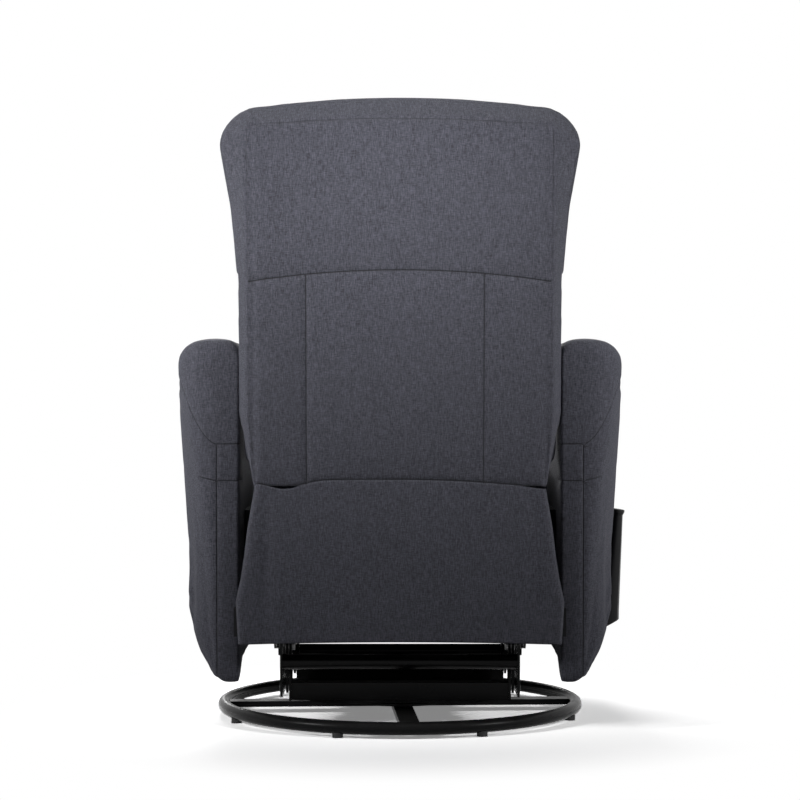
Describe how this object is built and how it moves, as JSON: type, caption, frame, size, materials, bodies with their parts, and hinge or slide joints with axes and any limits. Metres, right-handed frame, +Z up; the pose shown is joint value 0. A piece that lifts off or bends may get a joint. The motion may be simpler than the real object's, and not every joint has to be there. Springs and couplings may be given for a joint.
{
  "type": "swivel glider recliner",
  "caption": "Upholstered armchair that swivels on a ring base, glides on hanging links, reclines its back and extends a footrest from a side pull lever.",
  "frame": {"origin": "on the swivel axis at floor level", "axes": "+Z up along the swivel axis; the sitter faces -Y; +X is the sitter's left, the lever is on -X"},
  "size_m": [0.7745, 0.8106, 1.0433],
  "materials": {
    "steel": "black powder coat, semi gloss",
    "zinc": "dark plated rivets and bolts",
    "rubber": "matte black rubber feet",
    "nylon": "natural nylon bearing ring",
    "plastic": "black moulded plastic with fine grain",
    "linen": "charcoal blue linen-look weave",
    "wood": "raw plywood and pine frame",
    "webbing": "elastic webbing"
  },
  "bodies": {
    "base": {"base_ring": "steel", "base_spokes": "steel", "foot_glides": "rubber", "lower_race": "steel", "slip_ring": "nylon", "swivel_pin": "zinc"},
    "swivel_frame": {"upper_race": "steel", "swivel_plate": "steel", "front_channel": "steel", "rear_channel": "steel", "hanger_front_left": "steel", "hanger_front_right": "steel", "hanger_rear_left": "steel", "hanger_rear_right": "steel", "hanger_bolts": "zinc"},
    "glide_link_fl": {"glide_link_front_left": "steel"},
    "glide_link_fr": {"glide_link_front_right": "steel"},
    "glide_link_rl": {"glide_link_rear_left": "steel"},
    "glide_link_rr": {"glide_link_rear_right": "steel"},
    "chassis": {"side_plate_left": "steel", "side_plate_right": "steel", "front_cross_tube": "steel", "rear_cross_tube": "steel", "side_plate_pins": "zinc"},
    "front_seat_links": {"seat_links_front": "steel"},
    "rear_seat_links": {"seat_links_rear": "steel"},
    "seat": {"seat_rail_left": "steel", "seat_rail_right": "steel", "seat_rail_pins": "zinc", "seat_board_left": "wood", "seat_board_right": "wood", "seat_board_front": "wood", "seat_board_rear": "wood", "rear_stretcher": "wood", "seat_straps": "webbing", "seat_cushion": "linen", "arm_left": "linen", "arm_right": "linen", "back_skirt": "linen"},
    "lever": {"drive_tube": "steel", "lever_handle": "plastic"},
    "drive_rod": {"drive_rods": "steel"},
    "rear_link": {"rear_links": "steel"},
    "front_link": {"front_links": "steel"},
    "outer_link": {"outer_links": "steel"},
    "inner_link": {"inner_links": "steel"},
    "ottoman": {"ottoman_brackets": "steel", "ottoman_board": "wood", "ottoman_pad": "linen"},
    "back": {"back_brackets": "steel", "back_post_left": "wood", "back_post_right": "wood", "back_top_rail": "wood", "back_lower_rail": "wood", "back_cover": "linen", "back_cushion": "linen", "head_cushion": "linen"}
  },
  "joints": [
    {"name": "swivel", "type": "hinge", "parent": "base", "child": "swivel_frame", "pos_m": [0, 0, 0.03], "axis": [0, 0, 1], "continuous": true},
    {"name": "glide", "type": "hinge", "parent": "swivel_frame", "child": "glide_link_rl", "pos_m": [0, 0.13, 0.132], "axis": [1, 0, 0], "range_deg": [-26, 26]},
    {"name": "glide_front_left", "type": "hinge", "parent": "swivel_frame", "child": "glide_link_fl", "pos_m": [0, -0.13, 0.132], "axis": [1, 0, 0], "range_deg": [-26.01, 26.01]},
    {"name": "glide_front_right", "type": "hinge", "parent": "swivel_frame", "child": "glide_link_fr", "pos_m": [0, -0.13, 0.132], "axis": [1, 0, 0], "range_deg": [-26.01, 26.01]},
    {"name": "glide_rear_right", "type": "hinge", "parent": "swivel_frame", "child": "glide_link_rr", "pos_m": [0, 0.13, 0.132], "axis": [1, 0, 0], "range_deg": [-26.01, 26.01]},
    {"name": "glide_chassis", "type": "hinge", "parent": "glide_link_rl", "child": "chassis", "pos_m": [0, 0.13, 0.062], "axis": [1, 0, 0], "range_deg": [-26.01, 26.01]},
    {"name": "seat_swing_rear", "type": "hinge", "parent": "chassis", "child": "rear_seat_links", "pos_m": [0, 0.188, 0.145], "axis": [1, 0, 0], "range_deg": [0, 26.01]},
    {"name": "seat_swing_front", "type": "hinge", "parent": "chassis", "child": "front_seat_links", "pos_m": [0, -0.017, 0.092], "axis": [1, 0, 0], "range_deg": [0, 26.01]},
    {"name": "seat_level", "type": "hinge", "parent": "rear_seat_links", "child": "seat", "pos_m": [0, 0.2005, 0.1995], "axis": [1, 0, 0], "range_deg": [-26.01, 0]},
    {"name": "recline", "type": "hinge", "parent": "seat", "child": "back", "pos_m": [0, 0.21, 0.365], "axis": [-1, 0, 0], "range_deg": [0, 38], "deforming": ["back_skirt"]},
    {"name": "footrest", "type": "hinge", "parent": "seat", "child": "rear_link", "pos_m": [0, -0.2, 0.27], "axis": [-1, 0, 0], "range_deg": [0, 103.7]},
    {"name": "footrest_front_link", "type": "hinge", "parent": "seat", "child": "front_link", "pos_m": [0, -0.2568, 0.2543], "axis": [-1, 0, 0], "range_deg": [0, 108.21]},
    {"name": "footrest_outer_link", "type": "hinge", "parent": "rear_link", "child": "outer_link", "pos_m": [0, -0.1655, 0.09], "axis": [-1, 0, 0], "range_deg": [-123.71, 0]},
    {"name": "footrest_inner_link", "type": "hinge", "parent": "rear_link", "child": "inner_link", "pos_m": [0, -0.1702, 0.1338], "axis": [-1, 0, 0], "range_deg": [-124.21, 0]},
    {"name": "footrest_board", "type": "hinge", "parent": "outer_link", "child": "ottoman", "pos_m": [0, -0.35, 0.24], "axis": [-1, 0, 0], "range_deg": [0, 114.01]},
    {"name": "lever_pull", "type": "hinge", "parent": "seat", "child": "lever", "pos_m": [0, -0.0527, 0.1718], "axis": [-1, 0, 0], "range_deg": [0, 66.01]},
    {"name": "drive_rod_pivot", "type": "hinge", "parent": "rear_link", "child": "drive_rod", "pos_m": [0, -0.1947, 0.2425], "axis": [-1, 0, 0], "range_deg": [-105.58, 0]}
  ],
  "couplings": [
    {"joint": "glide_front_left", "follows": "glide", "ratio": 1},
    {"joint": "glide_front_right", "follows": "glide", "ratio": 1},
    {"joint": "glide_rear_right", "follows": "glide", "ratio": 1},
    {"joint": "glide_chassis", "follows": "glide", "ratio": -1},
    {"joint": "seat_swing_rear", "follows": "recline", "ratio": 0.68421},
    {"joint": "seat_swing_front", "follows": "recline", "ratio": 0.68421},
    {"joint": "seat_level", "follows": "recline", "ratio": -0.68421},
    {"joint": "footrest_front_link", "follows": "footrest", "ratio": 1.0434},
    {"joint": "footrest_outer_link", "follows": "footrest", "ratio": -1.1929},
    {"joint": "footrest_inner_link", "follows": "footrest", "ratio": -1.1977},
    {"joint": "footrest_board", "follows": "footrest", "ratio": 1.0993},
    {"joint": "lever_pull", "follows": "footrest", "ratio": 0.63645},
    {"joint": "drive_rod_pivot", "follows": "footrest", "ratio": -1.018}
  ]
}
